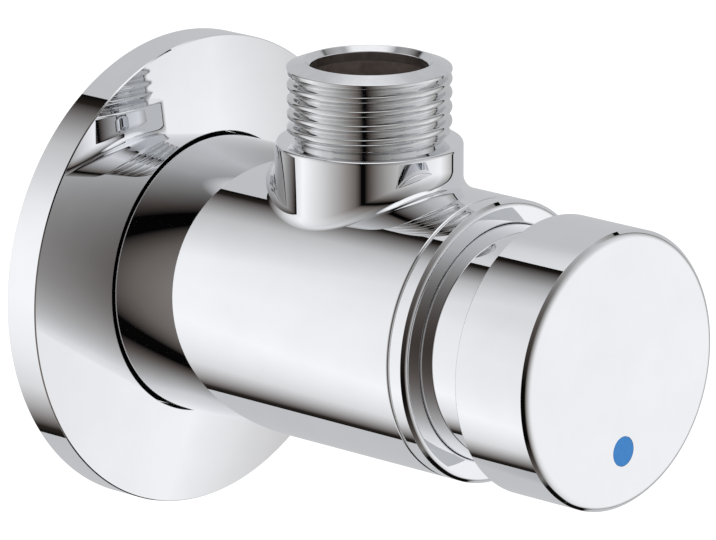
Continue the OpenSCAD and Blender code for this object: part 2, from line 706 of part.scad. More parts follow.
// Dashpot piston with the groove for its lip seal and the hole for its jet
module piston() color(brass) difference() {
  turned() difference() {
    translate([stem_r + fit_gap, piston_d - piston_t / 2]) square([piston_r - stem_r - fit_gap, piston_t]);
    translate([lip_seal_r, piston_d - lip_seal_w / 2 - fit_gap]) square([cut * 2, lip_seal_w + 2 * fit_gap]);
  }
  translate([0, 0, jet_orbit]) rod(jet_r + fit_gap, piston_d - piston_t, piston_d + piston_t);
}
module piston_seal() color(rubber)
  tube(dashpot_r - lip_gap, lip_seal_r + fit_gap, piston_d - lip_seal_w / 2, piston_d + lip_seal_w / 2);
module piston_clip() color(steel) difference() {
  front_d = piston_d - piston_t / 2;
  mouth_w = 2.4;
  tube(clip_r, stem_r + fit_gap, front_d - clip_t, front_d);
  translate([0, clip_t / 2 - front_d, -clip_r]) cube([mouth_w, 2 * clip_t, 2 * clip_r], center = true);
}
module timing_jet() color(brass) difference() {
  translate([0, 0, jet_orbit]) rod(jet_r, piston_d - piston_t / 2, piston_d + piston_t / 2);
  translate([0, 0, jet_orbit]) rod(jet_hole_r, piston_d - piston_t, piston_d + piston_t);
}

// Poppet, its rubber washer and the nut behind it
module poppet() color(brass) turned() {
  translate([stem_thread_r + fit_gap, poppet_back_d])
    square([poppet_r - stem_thread_r - fit_gap, poppet_front_d - poppet_back_d]);
  translate([washer_r + fit_gap, poppet_back_d])
    square([poppet_r - washer_r - fit_gap, poppet_front_d - poppet_back_d + washer_rim]);
}
module seat_washer() color(rubber)
  tube(washer_r, stem_thread_r + fit_gap, poppet_front_d, seat_lip_d - rubber_gap);
module hex_nut(back_d) difference() {
  rotate([90, 0, 0]) translate([0, 0, back_d]) cylinder(r = nut_r, h = nut_t, $fn = 6);
  rod(stem_thread_r + fit_gap, back_d - cut, back_d + nut_t + cut);
}
module poppet_nut() color(steel) hex_nut(poppet_back_d - nut_t);
module button_nut() color(steel) hex_nut(web_d + web_t);

// Button sleeve: the visible neck, with the web that bolts to the stem
module button_sleeve() color(chrome) difference() {
  turned() {
    translate([sleeve_bore_r, sleeve_back_d])
      square([sleeve_r - sleeve_bore_r, sleeve_front_d - sleeve_back_d]);
    translate([stem_thread_r + fit_gap, web_d]) square([sleeve_bore_r - stem_thread_r + cut, web_t]);
  }
  translate([0, 0, -pin_orbit]) rod(pin_slot_r, sleeve_back_d - cut, pin_slot_front_d);
}

// Button head: a cup screwed over the sleeve
module button_cap() color(chrome) difference() {
  turned() difference() {
    rounded_profile(0, button_r, button_back_d, button_front_d, button_edge);
    translate([0, button_back_d - cut])
      square([sleeve_r + rubber_gap, button_cavity_d - button_back_d + cut]);
  }
  translate([dot_x, 0, -dot_drop]) rod(dot_r + fit_gap, button_front_d - dot_t, button_front_d + cut);
}
module indicator_dot() color("#4285c8") translate([dot_x, 0, -dot_drop])
  rod(dot_r, button_front_d - dot_t, button_front_d);

valve_body();
escutcheon();
escutcheon_ring();
inlet_strainer();
flow_limiter();
cartridge_housing();
valve_seat();
rear_oring();
front_oring();
housing_cap();
cap_oring();
stem_seal();
stem_bush();
slip_ring();
collar();
sleeve_wiper();
guide_pin();
return_spring();
stem();
piston();
piston_seal();
piston_clip();
timing_jet();
poppet();
seat_washer();
poppet_nut();
button_sleeve();
button_nut();
button_cap();
indicator_dot();
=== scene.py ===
"""Looks of the self-closing shower valve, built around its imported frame.

Lengths are millimetres until a mesh is made. The valve's axis is Y, its button faces -Y and the
wall is at y = 0, so a depth d in front of the wall lies at y = -d. Z points up.
"""

import math

import bmesh
import bpy
import numpy as np
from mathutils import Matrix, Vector


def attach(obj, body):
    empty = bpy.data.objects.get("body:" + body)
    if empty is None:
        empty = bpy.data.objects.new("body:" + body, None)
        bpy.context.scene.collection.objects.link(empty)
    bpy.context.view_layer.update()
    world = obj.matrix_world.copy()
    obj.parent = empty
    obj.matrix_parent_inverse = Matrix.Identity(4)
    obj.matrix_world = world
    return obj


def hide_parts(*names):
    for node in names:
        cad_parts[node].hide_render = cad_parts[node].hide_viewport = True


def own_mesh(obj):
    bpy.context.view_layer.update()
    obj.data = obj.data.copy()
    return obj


MM = 0.001

# Threads: the diameter and pitch of G 1/2, with crests rolled rounder than the standard form
THREAD_CREST_R = 10.4775
THREAD_PITCH = 1.814
THREAD_CREST_ROUND = 0.5
THREAD_ROOT_ROUND = 0.25
THREAD_FLANK = math.radians(65)
THREAD_CREST_ROWS = 9
THREAD_ROOT_ROWS = 5
# A thread fades out over this height where it meets the boss and the lip
THREAD_FADE = 0.3

# Body
BODY_R = 18.0
BODY_BACK_D = 1.5
BODY_BACK_CHAMFER = 0.36
BODY_BACK_EDGE = 0.06
BODY_FRONT_D = 53.78
GROOVE_HALF = 0.36
FRONT_BORE_R = 16.5
SHOULDER_D = 42.5
REAR_BORE_R = 14.0
CHANNEL_R = 15.8
CHANNEL_BACK_D = 25.0
CHANNEL_FRONT_D = 39.0
REAR_BORE_D = 5.0
INLET_NECK_R = 6.2
INLET_NECK_D = 1.0
INLET_BORE_R = 7.5
INLET_BACK_D = -13.0
INLET_EDGE = 0.3
INLET_RELIEF_R = 9.2
INLET_RELIEF_LENGTH = 0.6
INLET_FADE = 0.2

# Outlet
OUTLET_D = 34.0
# Between these depths the top of the body is drawn as a grid that is fitted to the boss
WINDOW_BACK_D = OUTLET_D - 16
WINDOW_FRONT_D = OUTLET_D + 16
BOSS_R = 11.9
BOSS_Z = 22.2
BOSS_ROUND = 0.5
BLEND_R = 2.0
OUTLET_RELIEF_R = 9.36
OUTLET_LEAD_IN_Z = 22.5
# A crest of the outlet's thread stands at this height and angle, as the photograph shows, and the
# last groove fades out between these shares of a turn past it
CREST_Z = 29.27
CREST_ANGLE = math.radians(132.9)
LAST_GROOVE = (0.5, 0.8)
LIP_BAND_Z = 31.3
LIP_EDGE_Z = 31.56
LIP_EDGE_HALF = 0.1
LIP_EDGE_ROUND = 0.25
LIP_PEAK_Z = 32.5
LIP_PEAK_R = 8.2
LIP_PEAK_ROUND = 0.2
LIP_CHAMFER = 0.75
LIP_CHAMFER_ROUND = 0.15
# How far down the bore the facing tool has run
LIP_FACED_DEPTH = 1.9
OUTLET_BORE_R = 7.45
OUTLET_BORE_Z = 20.0
PORT_R = 4.95

# Wall plate
PLATE_R = 30.7
PLATE_RIM_D = 4.96
PLATE_RISE = 2.235
PLATE_CHAMFER_R = 0.13
PLATE_CHAMFER_D = 0.16
PLATE_CHAMFER_EDGE = 0.03
PLATE_FOOT_EDGE = 0.1
PLATE_MOUTH_R = 18.32
PLATE_MOUTH_EDGE = 0.1
PLATE_WALL = 1.2
PLATE_RIM_ROOT = 0.5
PLATE_BORE_R = 18.15
PLATE_HUB_R = 21.5
PLATE_HUB_D = 2.0
PLATE_HUB_EDGE = 0.15
PLATE_HUB_ROOT = 0.4
PLATE_RING_D = 4.0
PLATE_RING_R = 19.9
PLATE_RING_HALF = 1.0

# Collar
COLLAR_FRONT_D = 56.5
COLLAR_CHAMFER_R = 0.545
COLLAR_CHAMFER_D = 0.65
COLLAR_CHAMFER_EDGE = 0.05
COLLAR_FACE_EDGE = 0.7
COLLAR_BORE_R = 15.1
COLLAR_MOUTH_EDGE = 0.25
SPIGOT_R = 16.42
SPIGOT_EDGE = 0.3
SPIGOT_BORE_EDGE = 0.2
SPIGOT_BACK_D = 45.1
WIPER_D = 55.0
WIPER_HALF = 0.7
WIPER_GROOVE_R = 16.1

# Button
SLEEVE_R = 15.05
SLEEVE_BORE_R = 13.4
SLEEVE_BACK_D = 52.0
SLEEVE_FRONT_D = 72.0
SLEEVE_EDGE = 0.3
SLEEVE_BORE_EDGE = 0.2
WEB_BACK_D = 67.5
WEB_FRONT_D = 69.5
WEB_BORE_R = 2.52
PIN_ORBIT = 12.9
PIN_SLOT_R = 1.3
PIN_SLOT_FRONT_D = 65.0
HEAD_R = 17.7
HEAD_BACK_D = 64.6
HEAD_FRONT_D = 76.1
HEAD_EDGE = 1.2
HEAD_CHAMFER_R = 0.6
HEAD_CHAMFER_D = 0.78
HEAD_CHAMFER_EDGE = 0.05
HEAD_FACE_EDGE = 1.0
HEAD_BACK_EDGE = 0.15
HEAD_CAVITY_R = 15.1
HEAD_CAVITY_D = 73.6
HEAD_CAVITY_EDGE = 0.1
HEAD_CAVITY_ROOT = 0.3
DOT_R = 1.9
DOT_SEAT_R = 1.92
DOT_X = 0.6
DOT_Z = -10.3
DOT_DEPTH = 0.3
DOT_EDGE = 0.06

# How finely things are divided. The stretch fitted to the boss takes WINDOW_STEPS of TURN_STEPS
TURN_STEPS = 216
WINDOW_STEPS = 60
BODY_STRIPS = 8
CHANNEL_STRIPS = 4
DOT_STEPS = 96
BLEND_ROWS = 13
FACE_ROWS = 9
RING_STEPS = 4 * WINDOW_STEPS
WINDOW_HALF_ANGLE = math.pi * WINDOW_STEPS / TURN_STEPS
ARC_STEP = math.radians(7)
ARC_LENGTH = 1.2
# Points nearer than this are one point
SEW = 1e-4


class Axis:
    """A line that things are turned about: where it stands, its direction and two directions across"""

    def __init__(self, origin, along, first, second):
        self.origin = np.array(origin, float)
        self.along = np.array(along, float)
        self.first = np.array(first, float)
        self.second = np.array(second, float)

    def around(self, angles):
        """Directions straight out from the axis"""
        return np.multiply.outer(np.cos(angles), self.first) + np.multiply.outer(np.sin(angles), self.second)

    def across(self, angles):
        """Directions along the way round"""
        return np.multiply.outer(np.cos(angles), self.second) - np.multiply.outer(np.sin(angles), self.first)

    def point(self, radius, height, angles):
        return self.origin + self.around(angles) * radius[..., None] + self.along * height[..., None]


VALVE = Axis((0, 0, 0), (0, -1, 0), (0, 0, 1), (1, 0, 0))
OUTLET = Axis((0, -OUTLET_D, 0), (0, 0, 1), (1, 0, 0), (0, 1, 0))
DOT = Axis((DOT_X, 0, DOT_Z), (0, -1, 0), (1, 0, 0), (0, 0, 1))
turn = np.linspace(-WINDOW_HALF_ANGLE, 2 * math.pi - WINDOW_HALF_ANGLE, TURN_STEPS + 1)
ring = np.linspace(0, 2 * math.pi, RING_STEPS + 1)


def smooth(low, high, value):
    """Rises softly from 0 to 1 between two values"""
    share = np.clip((value - low) / (high - low), 0, 1)
    return share * share * (3 - 2 * share)


def outline(corners, closed=False):
    """Rows of radius, height and their true normal along a chain of (radius, height, rounding) corners.

    The solid lies on the left of the way the chain runs. Each run of rows ends where its edge turns."""
    corners = [(*corner, 0)[:3] for corner in corners]
    if closed:
        ahead = corners[1:] + corners[:1]
        area = sum(a[0] * b[1] - b[0] * a[1] for a, b in zip(corners, ahead))
        corners = corners if area > 0 else corners[::-1]
        corners = [corners[-1], *corners, corners[0]]
    places = np.array([corner[:2] for corner in corners], float)
    ways = np.diff(places, axis=0)
    ways /= np.linalg.norm(ways, axis=1)[:, None]
    normals = np.stack([ways[:, 1], -ways[:, 0]], 1)
    starts, ends, arcs = [places[0]], [], []
    for i in range(1, len(corners) - 1):
        before, after = ways[i - 1], ways[i]
        swing = math.atan2(before[0] * after[1] - before[1] * after[0], before @ after)
        rounding = corners[i][2]
        back = rounding * math.tan(abs(swing) / 2)
        ends.append(places[i] - before * back)
        starts.append(places[i] + after * back)
        if rounding:
            side = math.copysign(1, swing)
            centre = ends[-1] - side * rounding * normals[i - 1]
            steps = max(math.ceil(abs(swing) / ARC_STEP), math.ceil(abs(swing) * rounding / ARC_LENGTH), 2)
            angle = math.atan2(normals[i - 1][1], normals[i - 1][0]) + np.linspace(0, swing, steps + 1)
            out = np.stack([np.cos(angle), np.sin(angle)], 1)
            rows = np.hstack([centre + side * rounding * out, out])
            rows[0, :2], rows[-1, :2] = ends[-1], starts[-1]
            arcs.append(rows)
        else:
            arcs.append(None)
    # A closed chain's last edge is its first one met again, and ends where its first corner starts
    ends.append(ends[0] if closed else places[-1])
    runs = []
    for i, normal in enumerate(normals):
        on_axis = abs(starts[i][0]) + abs(ends[i][0]) < SEW
        met_again = closed and i == 0
        if not on_axis and not met_again and np.linalg.norm(starts[i] - ends[i]) > SEW:
            runs.append(np.hstack([np.stack([starts[i], ends[i]]), np.stack([normal, normal])]))
        if i < len(arcs) and arcs[i] is not None:
            runs.append(arcs[i])
    return runs


class Shell:
    """Patches of points with their true normals, sewn into one closed mesh"""

    def __init__(self):
        self.points = []
        self.normals = []
        self.quads = []
        self.coats = []
        self.coat = 0
        self.count = 0

    def patch(self, points, normals):
        """Adds a grid of points, with the coat that is being laid on"""
        rows, columns = points.shape[:2]
        index = self.count + np.arange(rows * columns).reshape(rows, columns)
        quads = np.stack([index[:-1, :-1], index[1:, :-1], index[1:, 1:], index[:-1, 1:]], -1)
        self.points.append(points.reshape(-1, 3))
        self.normals.append(np.broadcast_to(normals, points.shape).reshape(-1, 3))
        self.quads.append(quads.reshape(-1, 4))
        self.coats.append(np.full(quads.size // 4, self.coat))
        self.count += rows * columns

    def turned(self, axis, runs, angles):
        """Adds what a lathe leaves when it follows these runs"""
        for radius, height, out, up in (run.T for run in runs):
            radii = np.repeat(radius[:, None], len(angles), 1)
            heights = np.repeat(height[:, None], len(angles), 1)
            spread = np.broadcast_to(angles, radii.shape)
            normals = axis.around(spread) * out[:, None, None] + axis.along * up[:, None, None]
            self.patch(axis.point(radii, heights, spread), normals)

    def make(self, name, finishes, body, slot, *nodes):
        """Sews the patches up, with the true normals at their edges, and lets the piece ride"""
        points = np.concatenate(self.points)
        normals = np.concatenate(self.normals)
        normals /= np.linalg.norm(normals, axis=1)[:, None]
        quads = np.concatenate(self.quads)
        a, b, c, d = (points[quads[:, k]] for k in range(4))
        facing = np.einsum("ij,ij->i", np.cross(c - a, d - b), normals[quads].sum(1))
        quads[facing < 0] = quads[facing < 0, ::-1]
        _, first, place = np.unique(np.round(points / SEW), axis=0, return_index=True, return_inverse=True)
        place = place.reshape(-1)
        faces, loops, coats = [], [], []
        for corners, merged, coat in zip(quads, place[quads], np.concatenate(self.coats)):
            kept = [k for k in range(4) if merged[k] != merged[k - 1]]
            if len({merged[k] for k in kept}) > 2:
                faces.append([merged[k] for k in kept])
                loops.extend(corners[k] for k in kept)
                coats.append(coat)
        mesh = bpy.data.meshes.new(name)
        mesh.from_pydata(points[first] * MM, [], faces)
        mesh.polygons.foreach_set("use_smooth", [True] * len(faces))
        mesh.normals_split_custom_set(normals[loops])
        mesh.polygons.foreach_set("material_index", coats)
        for finish in finishes:
            mesh.materials.append(finish)
        piece = bpy.data.objects.new(name, mesh)
        bpy.context.scene.collection.objects.link(piece)
        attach(piece, body)
        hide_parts(*nodes)
        return piece


def thread_drop(offset):
    """How far the thread lies below its crest, at an offset along the axis from a crest"""
    aside = np.abs((offset / THREAD_PITCH + 0.5) % 1 - 0.5) * THREAD_PITCH
    crest_reach = THREAD_CREST_ROUND * math.sin(THREAD_FLANK)
    root_reach = THREAD_ROOT_ROUND * math.sin(THREAD_FLANK)
    sink = 1 - math.cos(THREAD_FLANK)
    flank = THREAD_CREST_ROUND * sink + (aside - crest_reach) * math.tan(THREAD_FLANK)
    straight = (THREAD_PITCH / 2 - crest_reach - root_reach) * math.tan(THREAD_FLANK)
    depth = (THREAD_CREST_ROUND + THREAD_ROOT_ROUND) * sink + straight
    crest = THREAD_CREST_ROUND - np.sqrt(np.maximum(THREAD_CREST_ROUND**2 - aside**2, 0))
    aside_root = THREAD_PITCH / 2 - aside
    root = depth - THREAD_ROOT_ROUND + np.sqrt(np.maximum(THREAD_ROOT_ROUND**2 - aside_root**2, 0))
    return np.where(aside < crest_reach, crest, np.where(aside_root < root_reach, root, flank))


def smaller_radius(a, b, softness=0.1):
    """The smaller of two radii, with the corner between them softened"""
    share = np.clip(0.5 + (b - a) / (2 * softness), 0, 1)
    return b * (1 - share) + a * share - softness * share * (1 - share)


def cut_thread(shell, axis, angles, low, high, radius):
    """A screw thread whose rows run along its crests and roots, cut off at a low and a high end"""
    crest = np.linspace(-1, 1, THREAD_CREST_ROWS) * THREAD_CREST_ROUND * math.sin(THREAD_FLANK)
    root = np.linspace(-1, 1, THREAD_ROOT_ROWS) * THREAD_ROOT_ROUND * math.sin(THREAD_FLANK)
    one_turn = np.concatenate([crest, THREAD_PITCH / 2 + root])
    # There are turns to spare, so that the rows reach both ends all the way round
    turns = math.ceil((high - low) / THREAD_PITCH) + 3
    rows = (low + (np.arange(turns)[:, None] - 2) * THREAD_PITCH + one_turn).reshape(-1)
    height = np.clip(rows[:, None] + THREAD_PITCH * angles / (2 * math.pi), low, high)
    spread = np.broadcast_to(angles, height.shape)
    size = radius(height, spread)
    # The slope along and around the thread is taken over this small step
    step = 0.004
    slope = (radius(height + step, spread) - radius(height - step, spread)) / (2 * step)
    twist = (radius(height, spread + step) - radius(height, spread - step)) / (2 * step * size)
    normals = axis.around(spread) - axis.along * slope[..., None] - axis.across(spread) * twist[..., None]
    shell.patch(axis.point(size, height, spread), normals)


# The ball that leaves the blend between boss and body rolls on both: its path's radius about the
# outlet and about the valve, and the share of the way out at which it touches the body
ORBIT = BOSS_R + BLEND_R
REACH = BODY_R + BLEND_R
FOOT = BODY_R / REACH


def ball(angles):
    """Where the ball's centre is as it rolls round the foot of the boss"""
    x, y = ORBIT * np.cos(angles), ORBIT * np.sin(angles)
    return np.stack([x, y - OUTLET_D, np.sqrt(REACH**2 - x**2)], -1)


def boss_blend(shell):
    """The hollow blend between boss and body"""
    centres = ball(ring)
    to_boss = -OUTLET.around(ring)
    to_body = -centres * (1, 0, 1) / REACH
    opening = np.arccos(np.einsum("ij,ij->i", to_boss, to_body))[:, None]
    share = np.linspace(0, 1, BLEND_ROWS)[:, None, None]
    swung = (np.sin((1 - share) * opening) * to_boss + np.sin(share * opening) * to_body) / np.sin(opening)
    shell.patch(centres + BLEND_R * swung, -swung)


def holed_barrel(shell, radius, inward, hole, back_d, front_d, strips):
    """A stretch of a cylinder about the valve's axis, with a hole on top whose edge is given as
    angles and depths at each step of the outlet's ring"""
    side = np.linspace(-1, 1, WINDOW_STEPS + 1)
    one = np.ones(WINDOW_STEPS)
    half = WINDOW_STEPS // 2
    swing = np.concatenate([one, -side[:-1], -one, side[:-1]]) * WINDOW_HALF_ANGLE
    rise = np.concatenate([side[:-1], one, -side[:-1], -one])
    middle, reach = (back_d + front_d) / 2, (front_d - back_d) / 2
    depth = middle - rise * reach
    edge = np.roll(np.stack([swing, depth], 1), -half, axis=0)
    edge = np.vstack([edge, edge[:1]])
    share = np.linspace(0, 1, strips + 1)[:, None, None]
    place = hole * (1 - share) + edge * share
    sign = -1 if inward else 1
    flat = np.full(place.shape[:2], float(radius))
    shell.patch(VALVE.point(flat, place[..., 1], place[..., 0]), sign * VALVE.around(place[..., 0]))
    rest = turn[WINDOW_STEPS:]
    depths = np.repeat((middle - side * reach)[:, None], len(rest), 1)
    spread = np.broadcast_to(rest, depths.shape)
    flat = np.full(depths.shape, float(radius))
    shell.patch(VALVE.point(flat, depths, spread), sign * VALVE.around(spread))


def hole_in_barrel(radius, foot_x, foot_y):
    """Angles and depths of a hole's edge, seen from above at these places"""
    return np.stack([np.arcsin(foot_x / radius), OUTLET_D - foot_y], -1)


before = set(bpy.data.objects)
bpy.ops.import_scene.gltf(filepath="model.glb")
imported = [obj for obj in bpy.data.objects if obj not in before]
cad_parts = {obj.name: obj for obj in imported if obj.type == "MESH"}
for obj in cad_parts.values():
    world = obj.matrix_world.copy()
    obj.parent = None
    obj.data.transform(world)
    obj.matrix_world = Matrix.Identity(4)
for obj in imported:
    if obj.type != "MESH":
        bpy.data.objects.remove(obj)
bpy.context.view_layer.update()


def colour(code):
    """Linear colour of an sRGB hex value"""
    parts = [int(code[i : i + 2], 16) / 255 for i in (1, 3, 5)]
    return np.array([p / 12.92 if p <= 0.04045 else ((p + 0.055) / 1.055) ** 2.4 for p in parts] + [1])


def node(tree, kind, inputs=None, **settings):
    """Adds a node with its settings; each input is a number, a colour or another node's output"""
    made = tree.nodes.new(kind)
    for name, value in settings.items():
        setattr(made, name, value)
    for name, value in (inputs or {}).items():
        if isinstance(value, bpy.types.NodeSocket):
            tree.links.new(value, made.inputs[name])
        else:
            made.inputs[name].default_value = value
    return made


# The middle part of the grain that carries a finish from its first shade to its second
GRAIN_LOW = 0.3
GRAIN_HIGH = 0.7
GRAIN_DETAIL = 3.0
GRAIN_ROUGHNESS = 0.55


def surface_finish(name, grain_mm, colours, roughness, bump_mm=0.0, **shader):
    """A finish whose colour and roughness drift with a grain of a size in millimetres"""
    made = bpy.data.materials.new(name)
    made.use_nodes = True
    tree = made.node_tree
    tree.nodes.clear()
    where = node(tree, "ShaderNodeTexCoord").outputs["Object"]
    grain = node(
        tree,
        "ShaderNodeTexNoise",
        {
            "Vector": where,
            "Scale": 1 / (grain_mm * MM),
            "Detail": GRAIN_DETAIL,
            "Roughness": GRAIN_ROUGHNESS,
        },
    ).outputs["Fac"]
    ramp = node(tree, "ShaderNodeValToRGB", {"Fac": grain})
    for stop, place, code in zip(ramp.color_ramp.elements, (GRAIN_LOW, GRAIN_HIGH), colours):
        stop.position = place
        stop.color = colour(code)
    rough = node(
        tree,
        "ShaderNodeMapRange",
        {
            "Value": grain,
            "From Min": GRAIN_LOW,
            "From Max": GRAIN_HIGH,
            "To Min": roughness[0],
            "To Max": roughness[1],
        },
    )
    surface = node(
        tree,
        "ShaderNodeBsdfPrincipled",
        {"Base Color": ramp.outputs["Color"], "Roughness": rough.outputs["Result"], **shader},
    )
    if bump_mm:
        relief = node(
            tree,
            "ShaderNodeBump",
            {"Height": grain, "Strength": 1.0, "Distance": bump_mm * MM},
        )
        tree.links.new(relief.outputs["Normal"], surface.inputs["Normal"])
    out = node(tree, "ShaderNodeOutputMaterial")
    tree.links.new(surface.outputs["BSDF"], out.inputs["Surface"])
    return made


# Nickel-chrome plate on polished brass: a clear mirror, with the faint cloudiness of a buffing wheel,
# whose passes lie some 6 mm apart
chrome_plate = surface_finish(
    "chrome_plate",
    grain_mm=6.0,
    colours=("#f0f1f3", "#f3f4f6"),
    roughness=(0.01, 0.025),
    Metallic=1.0,
)
# The same plating over threads cut after polishing: their flanks stay a little matt. Its grain and
# that of the lip are drawn at 1.5 mm, because the tool's own marks are too fine to show
cut_chrome = surface_finish(
    "cut_chrome",
    grain_mm=1.5,
    colours=("#dcddde", "#e6e7e8"),
    roughness=(0.05, 0.09),
    Metallic=1.0,
)
# The same plating over the outlet's lip, which is faced on the lathe and not buffed: a softer mirror
faced_chrome = surface_finish(
    "faced_chrome",
    grain_mm=1.5,
    colours=("#e6e7e9", "#eeeff1"),
    roughness=(0.1, 0.14),
    Metallic=1.0,
)
# Inside the bores the plating is thin and lies on a coarse tool finish, so it turns grey-brown and
# dull. The drill's marks of about 0.1 mm are drawn at 0.8 mm, as coarse as they need to show
bored_chrome = surface_finish(
    "bored_chrome",
    grain_mm=0.8,
    colours=("#c9bfb9", "#d8cfca"),
    roughness=(0.3, 0.4),
    bump_mm=0.004,
    Metallic=1.0,
)
# Turned brass: warm and satin. Its feed marks of about 0.1 mm are drawn at 0.6 mm to show
turned_brass = surface_finish(
    "turned_brass",
    grain_mm=0.6,
    colours=("#b98f45", "#c9a052"),
    roughness=(0.22, 0.34),
    bump_mm=0.004,
    Metallic=1.0,
)
# Stainless steel, drawn and turned: cooler and a little brighter, its grain drawn at 0.5 mm to show
stainless_steel = surface_finish(
    "stainless_steel",
    grain_mm=0.5,
    colours=("#a9abad", "#bcbec1"),
    roughness=(0.2, 0.3),
    bump_mm=0.003,
    Metallic=1.0,
)
# Moulded EPDM rubber: near black and dull, with the 0.35 mm grain of a blasted mould
moulded_rubber = surface_finish(
    "moulded_rubber",
    grain_mm=0.35,
    colours=("#1c1d1f", "#27282b"),
    roughness=(0.55, 0.7),
    bump_mm=0.006,
)
# Moulded acetal: milky white with a soft gloss, clouded at about 0.8 mm
moulded_acetal = surface_finish(
    "moulded_acetal",
    grain_mm=0.8,
    colours=("#e3e1da", "#ecebe6"),
    roughness=(0.3, 0.42),
    bump_mm=0.003,
)
# Fired blue enamel let into the head: glassy, its shade clouded at about 0.7 mm by the firing
blue_enamel = surface_finish(
    "blue_enamel",
    grain_mm=0.7,
    colours=("#0a72bb", "#1278c1"),
    roughness=(0.08, 0.14),
    IOR=1.5,
)

# What the carried-over pieces of the frame are made of
NODES_OF_FINISH = (
    (turned_brass, ("cartridge_housing", "housing_cap", "piston", "timing_jet", "poppet")),
    (stainless_steel, ("inlet_strainer", "valve_seat", "guide_pin", "return_spring")),
    (stainless_steel, ("stem", "piston_clip", "poppet_nut", "button_nut")),
    (moulded_rubber, ("escutcheon_ring", "rear_oring", "front_oring", "cap_oring")),
    (moulded_rubber, ("stem_seal", "sleeve_wiper", "piston_seal", "seat_washer")),
    (moulded_acetal, ("flow_limiter", "stem_bush", "slip_ring")),
)
for finish, names in NODES_OF_FINISH:
    for name in names:
        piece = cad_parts[name]
        piece.data.materials.clear()
        piece.data.materials.append(finish)


def outlet_thread_r(height, angle):
    """Radius of the outlet's thread, whose last groove fades out under the lip"""
    along = (height - CREST_Z) / THREAD_PITCH - (angle - CREST_ANGLE) / (2 * math.pi)
    turns = np.floor(along) + (angle - CREST_ANGLE) / (2 * math.pi)
    depth = 1 - smooth(*LAST_GROOVE, turns)
    size = THREAD_CREST_R - thread_drop(along * THREAD_PITCH) * depth
    lead_in = OUTLET_RELIEF_R + np.maximum(height - OUTLET_LEAD_IN_Z, 0)
    size = smaller_radius(size, lead_in)
    size = OUTLET_RELIEF_R + (size - OUTLET_RELIEF_R) * smooth(BOSS_Z, BOSS_Z + THREAD_FADE, height)
    band = smooth(LIP_BAND_Z - THREAD_FADE, LIP_BAND_Z, height)
    return THREAD_CREST_R + (size - THREAD_CREST_R) * (1 - band)


def inlet_thread_r(height, angle):
    """Radius of the inlet's thread; height is y, from the body's back face to the inlet's mouth"""
    along = height / THREAD_PITCH - angle / (2 * math.pi)
    size = THREAD_CREST_R - thread_drop(along * THREAD_PITCH)
    size = smaller_radius(size, INLET_RELIEF_R + np.maximum(height + BODY_BACK_D - INLET_RELIEF_LENGTH, 0))
    size = smaller_radius(size, INLET_RELIEF_R + np.maximum(-INLET_BACK_D - height, 0))
    ends = smooth(-BODY_BACK_D, INLET_FADE - BODY_BACK_D, height)
    ends = ends * (1 - smooth(-INLET_BACK_D - INLET_FADE, -INLET_BACK_D, height))
    return INLET_RELIEF_R + (size - INLET_RELIEF_R) * ends


# Coats of the body, in the order in which it is given its finishes
POLISHED, CUT, FACED, BORED = range(4)
BODY_FINISHES = (chrome_plate, cut_chrome, faced_chrome, bored_chrome)


